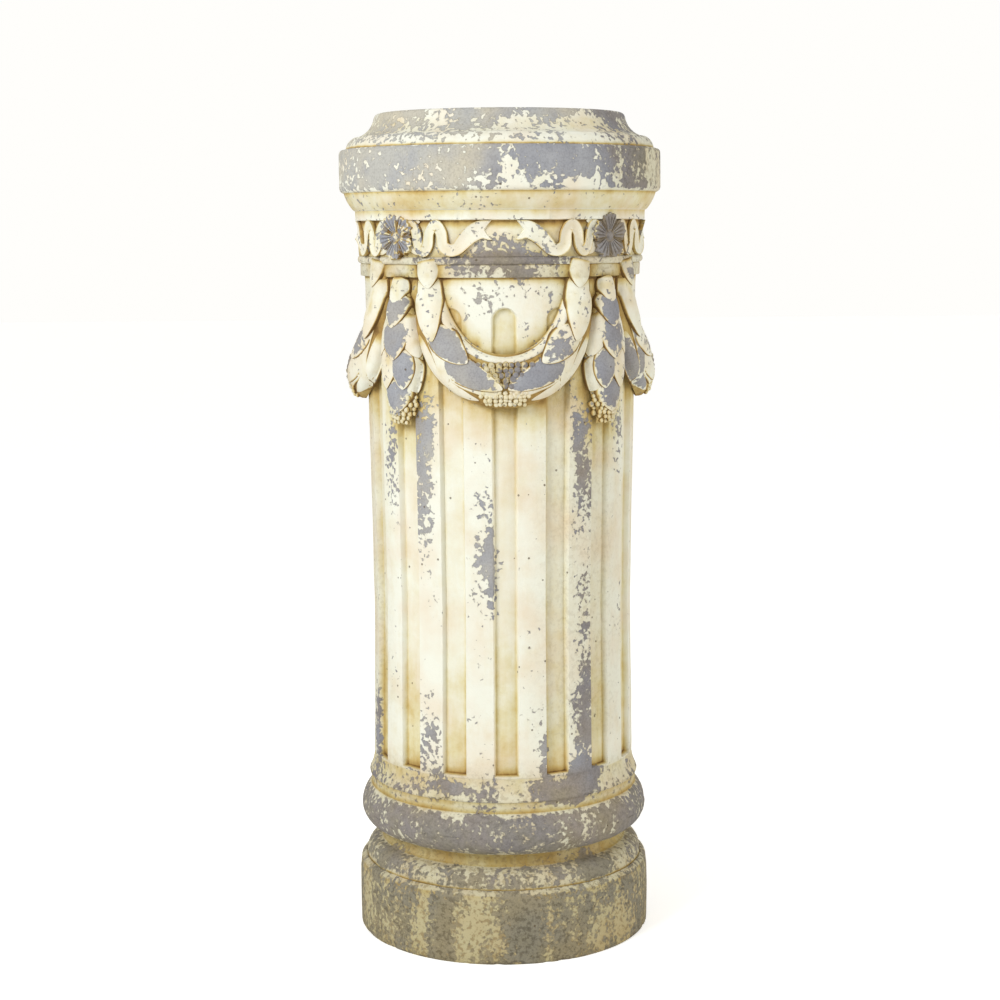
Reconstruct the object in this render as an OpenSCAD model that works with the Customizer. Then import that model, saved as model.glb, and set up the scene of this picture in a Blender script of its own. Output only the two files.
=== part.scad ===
// Garden pedestal in the form of a short fluted column, cast in one piece.
// All sizes are in millimetres. The column stands on z = 0 with its axis on the origin.

/* [Overall] */
// Overall height of the column
height = 830; // [740:10:960]
// Diameter of the shaft at its slimmest, halfway up
shaft_d = 264; // [230:2:300]
// How much wider the shaft is in radius just under the head
shaft_spread = 5; // [0:0.5:8]

/* [Base] */
// Height of the round plinth
plinth_h = 71; // [60:1:86]
// How far the plinth stands out from the shaft
plinth_out = 18; // [14:0.5:24]
// Height of the hollow moulding above the plinth
scotia_h = 33; // [28:1:38]
// Height of the big half-round moulding
torus_h = 45; // [38:1:52]
// Height of the thin band above the half-round
band_h = 14; // [10:0.5:18]

/* [Head] */
// Height of the raised top above the abacus
top_h = 35; // [28:1:42]
// Height of the abacus, the broad round slab
abacus_h = 43; // [36:1:50]
// How far the abacus stands out from the shaft
abacus_out = 29.5; // [24:0.5:34]
// Height of the quarter-round under the abacus
ovolo_h = 17; // [13:1:21]
// Height of the plain strip above the frieze
strip_h = 10; // [8:0.5:13]
// Height of the sunk frieze
frieze_h = 34.5; // [30:0.5:40]
// Height of the bead under the frieze
bead_h = 7.5; // [5:0.5:9]
// Height of the plain band under the bead
fascia_h = 12; // [9:0.5:15]

/* [Flutes] */
// Number of flutes round the shaft
flute_count = 16; // [12:4:20]
// Width of one flute
flute_w = 25; // [20:0.5:30]
// Depth of a flute
flute_depth = 5.5; // [3:0.5:8]
// Gap from the top of a flute's arch to the head
flute_gap = 28; // [20:1:40]

/* [Garlands] */
// Number of garlands round the column, with a drop between each two
swag_count = 4; // [4:4:4]
// How far a garland hangs down from the head to its lowest edge
swag_fall = 123; // [105:1:140]
// How far a garland stands out from the shaft at its lowest part
swag_out = 22; // [16:0.5:26]
// How high the leaves stand above the body they lie on
leaf_raise = 2.25; // [1.5:0.25:5]
// Diameter of one berry
berry_d = 6.5; // [5:0.25:9]

/* [Frieze ornament] */
// Diameter of a rosette
rosette_d = 42; // [34:1:46]
// How far the ribbons stand out of the frieze
ribbon_out = 3.5; // [2:0.25:5]
// Width of a ribbon
ribbon_w = 11; // [8:0.5:13]

/* [Hidden] */
$fn = 96;

shaft_r = shaft_d / 2;
neck_r = shaft_r + shaft_spread;       // shaft radius under the head
foot_r = shaft_r + 2.2;                // shaft radius at the foot of the flutes
plinth_r = shaft_r + plinth_out;
abacus_r = shaft_r + abacus_out;
frieze_r = neck_r + 4.5;
fascia_r = neck_r + 4.2;
head_h = top_h + abacus_h + ovolo_h + strip_h + frieze_h + bead_h + fascia_h;
z_scotia = plinth_h;
z_torus = z_scotia + scotia_h;
z_band = z_torus + torus_h;
z_shaft = z_band + band_h;
z_head = height - head_h;              // underside of the head
z_bead = z_head + fascia_h;
z_frieze = z_bead + bead_h;
z_strip = z_frieze + frieze_h;
z_ovolo = z_strip + strip_h;
z_abacus = z_ovolo + ovolo_h;
z_top = z_abacus + abacus_h;
apophyge_h = 22;                       // curved foot of the shaft
flare_r = shaft_r - 4;                 // top of the flare above the plinth
flare_h = 21;
torus_r = shaft_r + 15.6;
z_mid = z_shaft + apophyge_h + (z_head - z_shaft) * 0.32;
swag_r = neck_r + 0.5;                 // the garlands lie on this cylinder
swag_z = z_head - swag_fall;           // lowest edge of a garland

// ---------- shaft, base and head as one turned body ----------

// strip of the profile between two points, swelling out by an arc of radius r
module swell(a, b, r) {
    half = norm(b - a) / 2;
    side = [b[1] - a[1], a[0] - b[0]] / (2 * half);
    polygon([[0, a[1]], a, b, [0, b[1]]]);
    intersection() {
        translate((a + b) / 2 - side * sqrt(r * r - half * half)) circle(r = r);
        polygon([a, a + side * half, b + side * half, b]);
    }
}

// strip of the profile between two points, hollowed by an arc of radius r
module hollow(a, b, r) {
    half = norm(b - a) / 2;
    side = [b[1] - a[1], a[0] - b[0]] / (2 * half);
    difference() {
        polygon([[0, a[1]], a, b, [0, b[1]]]);
        translate((a + b) / 2 + side * sqrt(r * r - half * half)) circle(r = r);
    }
}

module base_profile() {
    // plinth with a thin sloping lip and a fine groove behind it
    polygon([[0, 0], [plinth_r - 1.5, 0], [plinth_r, 2.5], [plinth_r, plinth_h - 13],
             [plinth_r - 1.2, plinth_h - 1.5], [plinth_r - 2.5, plinth_h + 0.5],
             [plinth_r - 6, plinth_h + 3], [plinth_r - 7.6, plinth_h + 2], [0, plinth_h + 2]]);
    // quarter-round flare, then the hollow moulding
    flare = [flare_r, z_scotia + flare_h];
    square([flare_r, z_torus]);
    swell([plinth_r - 7.4, plinth_h + 1.5], flare, 16);
    hollow(flare, [flare_r - 1, z_torus + 2], 7.2);
    // half-round, fuller above than below
    swell([shaft_r - 5.5, z_torus + 1], [torus_r, z_torus + torus_h * 0.5], torus_h * 0.49);
    swell([torus_r, z_torus + torus_h * 0.5], [torus_r - 9.5, z_band], torus_h * 0.69);
    // thin upright band
    translate([0, z_band - 1]) square([shaft_r + 5.4, band_h + 1]);
}

module shaft_profile() {
    // gently tapered shaft, curving out to a crisp edge at its foot
    polygon([[0, z_shaft - 1], [foot_r, z_shaft - 1], [foot_r, z_shaft + apophyge_h],
             [shaft_r, z_mid], [neck_r, z_head + 1], [0, z_head + 1]]);
    hollow([foot_r + 4.8, z_shaft], [foot_r - 0.5, z_shaft + apophyge_h - 2], 46);
    translate([0, z_shaft - 2.5]) square([foot_r + 4.8, 2.5]);
}

module head_profile() {
    // plain band and bead under the frieze
    translate([0, z_head]) square([fascia_r, fascia_h + 1]);
    translate([0, z_bead]) square([neck_r + 3.2, bead_h]);
    translate([neck_r + 3, z_bead + bead_h / 2]) circle(d = bead_h);
    // sunk frieze and the strip above it
    translate([0, z_frieze - 1]) square([frieze_r, frieze_h + 2]);
    translate([0, z_strip]) square([frieze_r + 4.5, strip_h + 1]);
    // shallow quarter-round under the abacus
    swell([frieze_r + 6, z_ovolo], [abacus_r - 4.5, z_abacus + 0.5], 40);
    // abacus with rounded edges
    translate([0, z_abacus]) square([abacus_r - 5.5, abacus_h]);
    translate([0, z_abacus + 5.5]) square([abacus_r, abacus_h - 10]);
    translate([abacus_r - 5.5, z_abacus + 5.5]) circle(r = 5.5);
    translate([abacus_r - 4.5, z_top - 4.5]) circle(r = 4.5);
    // raised top: a low rounded step, then a hollow rising to the rim
    swell([abacus_r - 7, z_top - 1], [abacus_r - 13.5, z_top + 11], 14);
    hollow([abacus_r - 13.5, z_top + 11], [abacus_r - 35.4, height - 4], 24);
    polygon([[0, z_top], [abacus_r - 35.4, z_top], [abacus_r - 35.4, height - 4],
             [abacus_r - 36.5, height - 1.5], [abacus_r - 38.5, height], [0, height]]);
}

// one flute seen from outside, with an arched head and a square foot
module flute_outline() {
    z_foot = z_shaft + apophyge_h;
    z_arch = z_head - flute_gap - flute_w / 2;
    translate([-flute_w / 2, z_foot]) square([flute_w, z_arch - z_foot]);
    translate([0, z_arch]) circle(d = flute_w);
}

module flutes() {
    intersection() {
        rotate_extrude() polygon([[foot_r - flute_depth, z_shaft], [foot_r + 40, z_shaft],
            [foot_r + 40, z_head], [neck_r - flute_depth, z_head], [shaft_r - flute_depth, z_mid],
            [foot_r - flute_depth, z_shaft + apophyge_h]]);
        for (i = [0:flute_count - 1]) rotate([0, 0, i * 360 / flute_count])
            rotate([90, 0, 0]) translate([0, 0, shaft_r * 0.7]) linear_extrude(shaft_r) flute_outline();
    }
}

module turned_body() {
    difference() {
        rotate_extrude() {
            base_profile();
            shaft_profile();
            head_profile();
        }
        flutes();
    }
}

// ---------- leaves, berries and the bodies they lie on ----------

// puts children on the column's side: a degrees round, z up, out from the garland cylinder
module on_side(a, z, out = 0) {
    rotate([0, 0, a]) translate([0, -swag_r - out, z]) rotate([90, 0, 0]) children();
}

// point on the column's side as x, y, z
function side_point(a, z, out) =
    [(swag_r + out) * sin(a), -(swag_r + out) * cos(a), z];

// pointed oval outline, tip at +y
module leaf_outline(len, wid) {
    r = (len * len + wid * wid) / (4 * wid);
    intersection() {
        translate([r - wid / 2, 0]) circle(r = r);
        translate([wid / 2 - r, 0]) circle(r = r);
    }
}

// leaf with crisp sides and a face rounded across, tipped so that its point stands proud
module leaf(len, wid, tip = 0) {
    crown = wid * 0.75;
    intersection() {
        translate([0, 0, -12]) linear_extrude(24) leaf_outline(len, wid);
        rotate([tip, 0, 0]) translate([0, 0, leaf_raise - crown]) rotate([90, 0, 0])
            cylinder(r = crown, h = 2 * len, center = true);
    }
}

// a station of a rounded body lying on the column's side: [degrees round, z, half width, rise, turn]

// point of the body's face at a station; b goes round the face from 0 at one side to 180 at the other
function face_height(s, b) = s[3] * pow(sin(b), 0.8);
function face_point(s, b) = let (x = s[2] * cos(b))
    side_point(s[0] + x * cos(s[4]) / swag_r * 180 / PI, s[1] + x * sin(s[4]), face_height(s, b));
function back_point(s, x) =
    side_point(s[0] + x * cos(s[4]) / swag_r * 180 / PI, s[1] + x * sin(s[4]), -9);

// puts children on the body's face, z straight out of it and y along it
module on_face(s, b) {
    on_side(s[0], s[1]) rotate([0, 0, s[4]]) translate([s[2] * cos(b), 0, face_height(s, b)])
        rotate([0, atan2(cos(b) / s[2], sin(b) / s[3]), 0]) children();
}

// the rounded body itself, carried through its stations
module bolster(stations) {
    n = 8;
    m = n + 3;
    last = (len(stations) - 1) * m;
    points = [for (s = stations) each concat([for (k = [0:n]) face_point(s, 180 * k / n)],
                                             [back_point(s, -0.8 * s[2]), back_point(s, 0.8 * s[2])])];
    sides = [for (i = [0:len(stations) - 2], k = [0:m - 1]) let (p = i * m + k, q = i * m + (k + 1) % m)
        each [[p, q, p + m], [q, q + m, p + m]]];
    ends = [for (k = [1:m - 2]) each [[0, k + 1, k], [last, last + k, last + k + 1]]];
    polyhedron(points, concat(sides, ends), convexity = 6);
}

// rows of berries inside an ellipse, bedded in a face that falls away from height mid
module berries(z, half_w, half_h, mid, reach, rise) {
    rows = floor(half_h / berry_d);
    for (j = [-rows:rows]) let (y = j * berry_d * 0.9, w = half_w * sqrt(1 - pow(y / half_h, 2)),
                                cols = floor(2 * w / berry_d),
                                out = rise * pow(max(0.05, 1 - pow((z + y - mid) / reach, 2)), 0.4))
        for (i = [0:cols]) let (x = (i - cols / 2) * berry_d * 1.03)
            on_side(x / swag_r * 180 / PI, z + y, out - berry_d * 0.12) sphere(d = berry_d, $fn = 24);
}

// ---------- garlands ----------

fall = swag_fall / 123;                // the garland's layout is drawn for a fall of 123
// height of a point given as millimetres above the garland's lowest edge
function lift(up) = swag_z + up * fall;
swag_mid = lift(24.5);
swag_rise = swag_out - leaf_raise;
// station at p, from -90 to 90 over the hanging part
function swag_station(p) = let (c = max(0, cos(p)))
    [31 * sin(p), lift(108.5 - 84 * cos(p)), 11 + 14.5 * pow(c, 0.6), 6 + (swag_rise - 6) * pow(c, 0.8),
     atan2(84 * sin(p) * fall, 31 * PI / 180 * swag_r * cos(p)) + 90];
// station on the upright part over each end
function swag_upright(up) = [31, lift(up), 11, 6, 180];

module half_garland() {
    on_face(swag_station(60), 143) leaf(80 * fall, 19);
    on_face(swag_station(25), 138) leaf(56, 25);
    on_face(swag_upright(96), 95) rotate([0, 0, 4]) leaf(68 * fall, 25, 3);
    on_face(swag_upright(133), 90) leaf(42 * fall, 21, 4);
    on_face(swag_station(23), 95) leaf(57, 25, 3);
    on_face(swag_station(46), 58) leaf(52 * fall, 31, 4);
}

module garland() {
    bolster(concat([swag_upright(140)], [for (p = [90:-10:-90]) swag_station(p)],
                   [swag_upright(140) - [62, 0, 0, 0, 180]]));
    half_garland();
    mirror([1, 0, 0]) half_garland();
    berries(lift(36), 17, 10, swag_mid, 26, swag_rise);
    berries(lift(8), 22, 9, swag_mid, 26, swag_rise);
}

// ---------- drops between the garlands ----------

function drop_station(t) = [0, z_head - 4 - 134 * t, 8 + 18 * pow(sin(t * 150 + 10), 2),
                            4 + 7 * sin(t * 150 + 15), 180];

module drop() {
    bolster([for (t = [0:0.1:1]) drop_station(t)]);
    berries(z_head - 127, 12, 11, z_head - 95, 46, 8.5);
    for (e = [-1, 1]) {
        on_face(drop_station(0.42), 90 + 48 * e) rotate([0, 0, 5 * e]) leaf(46, 23, 3);
        on_face(drop_station(0.63), 90 + 22 * e) rotate([0, 0, 6 * e]) leaf(44, 27, 4);
    }
    on_face(drop_station(0.82), 90) leaf(38, 33, 3);
    on_face(drop_station(0.4), 90) leaf(46, 33, 4);
    on_face(drop_station(0.2), 90) leaf(37, 30, 4);
    on_face(drop_station(0.05), 90) leaf(36, 24, 4);
}

// ---------- rosettes and ribbons of the frieze ----------

module rosette() {
    z = z_frieze + frieze_h * 0.58;
    arm = rosette_d / 2;
    on_side(0, z, frieze_r - swag_r) {
        for (k = [0:4]) rotate([0, 0, k * 72 + 18]) translate([0, arm * 0.52, 2.5])
            rotate([8, 0, 0]) leaf(arm * 1.05, arm * 0.95, 0);
        translate([0, 0, 4]) sphere(r = arm * 0.24);
    }
    for (e = [-1, 1]) on_side(9.5 * e, z - 6, frieze_r - swag_r + 0.5)
        rotate([0, 0, 115 * e]) leaf(24, 11, 0);
}

// ribbon waving from a rosette to a swallow tail; a is degrees from the garland's middle
ribbon_mid = 21;
ribbon_end = 4.5;
function wave_turn(a) = (a - 26) * 360 / 14.5;
function wave(a) = z_frieze + frieze_h *
    (a > 11.5 ? 0.5 + 0.33 * cos(wave_turn(a)) : 0.83 - 0.022 * (11.5 - a));
// half the ribbon's height at a, more where it runs steeply and toward its tail
function ribbon_half(a) = ribbon_w *
    (a > 11.5 ? 0.4 + 0.35 * abs(sin(wave_turn(a))) : 0.4 + 0.05 * (11.5 - a));
function ribbon_point(a, side) = [frieze_r * sin(a - ribbon_mid), wave(a) + side * ribbon_half(a)];

module ribbon() {
    steps = [for (a = [39:-1.5:ribbon_end]) a];
    n = len(steps) - 1;
    intersection() {
        rotate([0, 0, ribbon_mid]) rotate([90, 0, 0]) translate([0, 0, frieze_r - 14]) linear_extrude(24)
            polygon(concat([for (a = steps) ribbon_point(a, 1)], [ribbon_point(ribbon_end + 3, 0)],
                           [for (i = [0:n]) ribbon_point(steps[n - i], -1)]));
        rotate_extrude() translate([frieze_r - 4, z_frieze - 3]) square([4 + ribbon_out, frieze_h + 6]);
    }
}

module column() {
    color([0.88, 0.85, 0.72]) {
        turned_body();
        for (i = [0:swag_count - 1]) rotate([0, 0, i * 360 / swag_count]) {
            garland();
            rotate([0, 0, 180 / swag_count]) {
                drop();
                rosette();
            }
            ribbon();
            mirror([1, 0, 0]) ribbon();
        }
    }
}

column();
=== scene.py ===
"""Garden pedestal in the form of a short fluted column: a hollow cast in fine concrete, painted cream and
weathered. Everything is worked out in millimetres, on the frame of the solid model, and set down in metres.

a is the angle round the column in degrees, 0 at the front and growing to the right; z is the height; x is the
way round the column in mm from the middle of a garland or drop, and h the height over the garlands' cylinder."""
import math

import bmesh
import bpy
import numpy as np
from mathutils import Matrix, Vector


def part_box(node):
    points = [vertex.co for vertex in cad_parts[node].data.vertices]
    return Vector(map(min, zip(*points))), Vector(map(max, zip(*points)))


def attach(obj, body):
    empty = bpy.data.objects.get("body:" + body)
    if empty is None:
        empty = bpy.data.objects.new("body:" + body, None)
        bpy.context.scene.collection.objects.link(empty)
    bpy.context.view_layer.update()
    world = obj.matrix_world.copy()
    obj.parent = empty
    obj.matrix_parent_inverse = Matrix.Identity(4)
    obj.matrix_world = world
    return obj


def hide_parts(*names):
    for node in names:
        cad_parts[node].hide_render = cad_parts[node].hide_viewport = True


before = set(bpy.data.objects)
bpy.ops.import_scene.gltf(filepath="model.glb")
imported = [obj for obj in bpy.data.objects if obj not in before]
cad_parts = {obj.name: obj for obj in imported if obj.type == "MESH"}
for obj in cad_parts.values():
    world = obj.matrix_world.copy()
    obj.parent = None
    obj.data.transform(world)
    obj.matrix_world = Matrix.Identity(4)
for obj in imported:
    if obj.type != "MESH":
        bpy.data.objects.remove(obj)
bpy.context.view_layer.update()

MM = 0.001
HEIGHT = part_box("column")[1].z / MM
SHAFT_R = 132.0
ABACUS_R = SHAFT_R + 29.5

# ------------------------------------------------------------------ camera and lamps

TILT = 7.67                      # degrees that the camera looks down
TURN = -1.5                      # degrees that it stands to the left of the front
ROLL = -0.35                     # degrees that it leans
DISTANCE = 2.058                 # metres from the column's axis
CAMERA_Z = 0.718                 # metres above the floor
LENS, SENSOR = 72.9, 36          # mm
SHIFT = -0.0017                  # sideways, as a share of the sensor
LAMPS_AIM = Vector((0, 0, 0.45))


def put_camera():
    data = bpy.data.cameras.new("camera")
    data.lens, data.sensor_width, data.shift_x = LENS, SENSOR, SHIFT
    camera = bpy.data.objects.new("camera", data)
    bpy.context.scene.collection.objects.link(camera)
    t = math.radians(TURN)
    turn = Matrix.Rotation(t, 4, "Z") @ Matrix.Rotation(math.radians(90 - TILT), 4, "X")
    turn = turn @ Matrix.Rotation(math.radians(ROLL), 4, "Z")
    place = Matrix.Translation((DISTANCE * math.sin(t), -DISTANCE * math.cos(t), CAMERA_Z))
    camera.matrix_world = place @ turn
    bpy.context.scene.camera = camera


def put_lamp(name, place, watts, size, colour):
    """square lamp turned toward the middle of the column"""
    data = bpy.data.lights.new(name, "AREA")
    data.energy, data.size, data.color = watts, size, colour
    lamp = bpy.data.objects.new(name, data)
    lamp.location = place
    lamp.rotation_euler = (LAMPS_AIM - lamp.location).to_track_quat("-Z", "Y").to_euler()
    bpy.context.scene.collection.objects.link(lamp)


# ------------------------------------------------------------------ nodes

def linear(code):
    """an sRGB hex colour as linear red, green, blue and 1"""
    s = np.array([int(code[k:k + 2], 16) / 255 for k in (1, 3, 5)])
    return (*np.where(s <= 0.04045, s / 12.92, ((s + 0.055) / 1.055) ** 2.4).tolist(), 1.0)


def add(tree, kind, *values, **named):
    """adds a node. values go to its inputs in their order, and each is a value or the output of another node. A
    name with a capital is an input too, with _ for a space, and i6 is the input of that number. stops are a
    colour ramp's, as (place, hex colour), and any other name is a setting"""
    node = tree.nodes.new("ShaderNode" + kind)
    feeds = dict(enumerate(values))
    for name, value in named.items():
        if name == "stops":
            cells = node.color_ramp.elements
            while len(cells) < len(value):
                cells.new(0.5)
            for cell, (place, code) in zip(cells, value):
                cell.position, cell.color = place, linear(code)
        elif name[0].isupper():
            feeds[name.replace("_", " ")] = value
        elif name[1:].isdigit():
            feeds[int(name[1:])] = value
        else:
            setattr(node, name, value)
    for key, value in feeds.items():
        if isinstance(value, bpy.types.NodeSocket):
            tree.links.new(value, node.inputs[key])
        else:
            node.inputs[key].default_value = value
    return node


# ------------------------------------------------------------------ noise, steps and humps

CELLS = 24
OFF_AXIS = 50.3                  # cells that the lattice is moved by, so that no lattice line runs along the axis
rng = np.random.default_rng(7)
LATTICE = rng.random((CELLS, CELLS, CELLS))


def noise(p, cell):
    """value noise: random numbers on a lattice of that cell in mm, joined by smooth steps; from 0 to 1"""
    q = p / cell + OFF_AXIS
    i = np.floor(q).astype(int)
    f = q - i
    f = f * f * (3 - 2 * f)
    total = 0
    for corner in range(8):
        c = np.array([corner & 1, corner >> 1 & 1, corner >> 2 & 1])
        k = (i + c) % CELLS
        total = total + LATTICE[k[..., 0], k[..., 1], k[..., 2]] * np.prod(np.where(c, f, 1 - f), -1)
    return total


def step(low, high, x):
    """0 at low, 1 at high, a smooth step between them and flat beyond; low may be the greater of the two"""
    t = np.clip((x - low) / (high - low), 0, 1)
    return t * t * (3 - 2 * t)


def between(a, b, c, d, x):
    """rises by a smooth step from a to b and falls again from c to d"""
    return step(a, b, x) * step(d, c, x)


def hump(x, middle, width):
    """1 at the middle, falling off as exp(-(distance / width) squared)"""
    return np.exp(-((x - middle) / width) ** 2)


# ------------------------------------------------------------------ meshes

MERGE = 2e-6                     # metres within which points are merged
CREASE = 42                      # degrees from which an edge is sharp


def grid_faces(n, m, closed=False):
    """corners of the quads of a grid of n rows and m columns, its last column joined to its first if closed"""
    i, j = np.meshgrid(np.arange(n - 1), np.arange(m if closed else m - 1), indexing="ij")
    k = (j + 1) % m
    return np.stack([i * m + j, i * m + k, (i + 1) * m + k, (i + 1) * m + j], -1).reshape(-1, 4)


def back_faces(n, m):
    """quads that close an open grid behind: one from edge to edge for each pair of rows, and across the first
    and the last row from both sides toward the middle, where piece() fills the triangle that is left"""
    i = np.arange(n - 1) * m
    back = np.stack([i, i + m, i + 2 * m - 1, i + m - 1], -1)
    j = np.arange((m - 2) // 2)
    root = np.stack([j, m - 1 - j, m - 2 - j, j + 1], -1)
    return np.concatenate([back, root, root[:, ::-1] + (n - 1) * m])


def weather(bare, soil_and_shade, old):
    """the three shares that the finish reads, as one array: how bare, how soiled and shaded, and how old the surface
    is; the second share is soil together with painted shade in hollows, creases and gaps
    """
    return np.stack(np.broadcast_arrays(bare, soil_and_shade, old), -1)


def patch(points, shares, closed=False):
    """a grid of points as (points, shares, quads), its quads turned to face away from the column's axis, and
    closed behind if its columns don't close by themselves"""
    n, m = points.shape[:2]
    faces = grid_faces(n, m, closed)
    p = points.reshape(-1, 3)
    one_way = p[faces[:, 2]] - p[faces[:, 0]]
    other_way = p[faces[:, 3]] - p[faces[:, 1]]
    middle = p[faces].mean(1) * [1, 1, 0]
    inward = np.sum(np.cross(one_way, other_way) * middle) < 0
    if not closed:
        faces = np.concatenate([faces, back_faces(n, m)])
    if inward:
        faces = faces[:, ::-1]
    return p, np.broadcast_to(shares, points.shape).reshape(-1, 3), faces


def piece(name, patches, material):
    """joins patches into one object, each closed at its hidden back; their shares are kept as its weather attribute,
    which carries painted shade with the soil
    """
    starts = np.cumsum([0] + [len(p[0]) for p in patches])
    points = np.concatenate([p[0] for p in patches]) * MM
    shares = np.concatenate([p[1] for p in patches])
    faces = np.concatenate([p[2] + s for p, s in zip(patches, starts)])
    mesh = bpy.data.meshes.new(name)
    mesh.vertices.add(len(points))
    mesh.vertices.foreach_set("co", points.ravel().astype(np.float32))
    mesh.loops.add(faces.size)
    mesh.loops.foreach_set("vertex_index", faces.ravel().astype(np.int32))
    mesh.polygons.add(len(faces))
    mesh.polygons.foreach_set("loop_start", (np.arange(len(faces)) * 4).astype(np.int32))
    mesh.polygons.foreach_set("use_smooth", np.ones(len(faces), bool))
    layer = mesh.attributes.new("weather", "FLOAT_COLOR", "POINT")
    layer.data.foreach_set("color", np.c_[shares, np.ones(len(points))].ravel().astype(np.float32))
    mesh.update(calc_edges=True)
    mesh.validate()
    bm = bmesh.new()
    bm.from_mesh(mesh)
    bmesh.ops.remove_doubles(bm, verts=bm.verts, dist=MERGE)
    bmesh.ops.holes_fill(bm, edges=[edge for edge in bm.edges if edge.is_boundary], sides=4)
    bm.to_mesh(mesh)
    bm.free()
    mesh.set_sharp_from_angle(angle=math.radians(CREASE))
    mesh.materials.append(material)
    thing = bpy.data.objects.new(name, mesh)
    bpy.context.scene.collection.objects.link(thing)
    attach(thing, "root")
    return thing


# ------------------------------------------------------------------ levels of the column, as in the solid model

Z_PLINTH, Z_FLARE, Z_TORUS, Z_BAND, Z_SHAFT, Z_FLUTE = 71, 92, 104, 149, 163, 185
Z_TORUS_WIDEST = 126.5
Z_SLIMMEST = 347                 # a third of the way up the shaft
Z_HEAD, Z_BEAD, Z_FRIEZE, Z_STRIP = HEIGHT - 159, HEIGHT - 147, HEIGHT - 139.5, HEIGHT - 105
Z_OVOLO, Z_ABACUS, Z_TOP = HEIGHT - 95, HEIGHT - 78, HEIGHT - 35
NECK_R = SHAFT_R + 5
FOOT_R = SHAFT_R + 2.2
FRIEZE_R = NECK_R + 4.5
GARLAND_R = NECK_R + 0.5         # radius of the cylinder that the garlands lie on
DEGREE_MM = math.radians(1) * GARLAND_R      # mm round that cylinder in a degree
FRIEZE_H = FRIEZE_R - GARLAND_R
BEAD_R = 3.75

FLUTES = 16
BAY_HALF = math.pi / FLUTES * SHAFT_R
FLUTE_HALF = 12.5
FLUTE_DEEP = 5.5
FLUTE_EDGE = 2.2                 # mm over which a flute's side falls
Z_ARCH = Z_HEAD - 28 - FLUTE_HALF            # middle of the flutes' arched heads


def bow(a, b, r, n=9):
    """points on an arc from a to b, swelling outward for r above 0 and hollow for r below 0"""
    a, b = np.array(a, float), np.array(b, float)
    half = np.hypot(*(b - a)) / 2
    side = np.array([b[1] - a[1], a[0] - b[0]]) / (2 * half)
    centre = (a + b) / 2 - np.sign(r) * side * math.sqrt(r * r - half * half)
    t0, t1 = (math.atan2(*(p - centre)[::-1]) for p in (a, b))
    t1 = t0 + (t1 - t0 + math.pi) % (2 * math.pi) - math.pi
    t = np.linspace(t0, t1, n)
    return np.c_[centre[0] + abs(r) * np.cos(t), centre[1] + abs(r) * np.sin(t)]


def soften(line, cut):
    """rounds each corner of a line of points: a corner sharper than 20 degrees is cut back on both sides and
    bridged by a curve of 3 points"""
    out = [line[0]]
    for before, here, after in zip(line[:-2], line[1:-1], line[2:]):
        u, v = here - before, after - here
        lu, lv = np.hypot(*u), np.hypot(*v)
        if min(lu, lv) < 1e-6 or np.dot(u, v) / (lu * lv) > math.cos(math.radians(20)):
            out.append(here)
            continue
        c = min(cut, lu * 0.45, lv * 0.45)
        p, q = here - u / lu * c, here + v / lv * c
        for t in (0, 0.5, 1):
            out.append((1 - t) ** 2 * p + 2 * t * (1 - t) * here + t * t * q)
    out.append(line[-1])
    return np.array(out)


def flute_rows():
    """heights of the rows over the shaft: close together at the foot of the flutes and round their arched heads"""
    foot = Z_FLUTE + np.array([-1.2, 0, 0.5, 1, 1.6, 3])
    plain = np.linspace(Z_FLUTE + 9, Z_ARCH - 4, 44)
    arch = Z_ARCH + FLUTE_HALF * np.sin(np.radians(np.arange(0, 91, 9)))
    above = Z_ARCH + FLUTE_HALF + np.array([1.2, 4, 8, 13, 19, 25])
    return np.concatenate([foot, plain, arch, above])


def base_outline():
    """underside, plinth with its rounded edges, flare, scotia, the big half-round and the thin band"""
    s, z = SHAFT_R, Z_PLINTH
    plinth = [(0, 0), (50, 0), (100, 0), (s + 14, 0), (s + 16.5, 0), (s + 18, 2.5), (s + 18, 18), (s + 18, 38),
              (s + 18, 58), (s + 16.8, z - 1.5), (s + 15.5, z + 0.5), (s + 12, z + 3), (s + 10.5, z + 2)]
    flare = bow((s + 10.4, z + 2), (s - 4, Z_FLARE), 16)
    scotia = bow((s - 4, Z_FLARE), (s - 5, Z_TORUS + 1.5), -7.2, 10)
    under = bow((s - 5.2, Z_TORUS + 1.5), (s + 15.6, Z_TORUS_WIDEST), 22, 12)
    over = bow((s + 15.6, Z_TORUS_WIDEST), (s + 6.2, Z_BAND), 31, 11)
    band = [(s + 5.3, Z_BAND + 0.5), (s + 5.4, Z_BAND + 6), (s + 5.4, Z_SHAFT - 2.6), (s + 7, Z_SHAFT - 2.2),
            (s + 7, Z_SHAFT)]
    return [plinth, flare, scotia, under, over, band]


def shaft_outline():
    """curved foot of the shaft, and the shaft itself"""
    foot = bow((SHAFT_R + 7, Z_SHAFT), (SHAFT_R + 1.7, Z_FLUTE - 2), -46, 9)
    rows = flute_rows()
    return [foot, np.c_[np.interp(rows, [Z_FLUTE, Z_SLIMMEST, Z_HEAD], [FOOT_R, SHAFT_R, NECK_R]), rows]]


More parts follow.
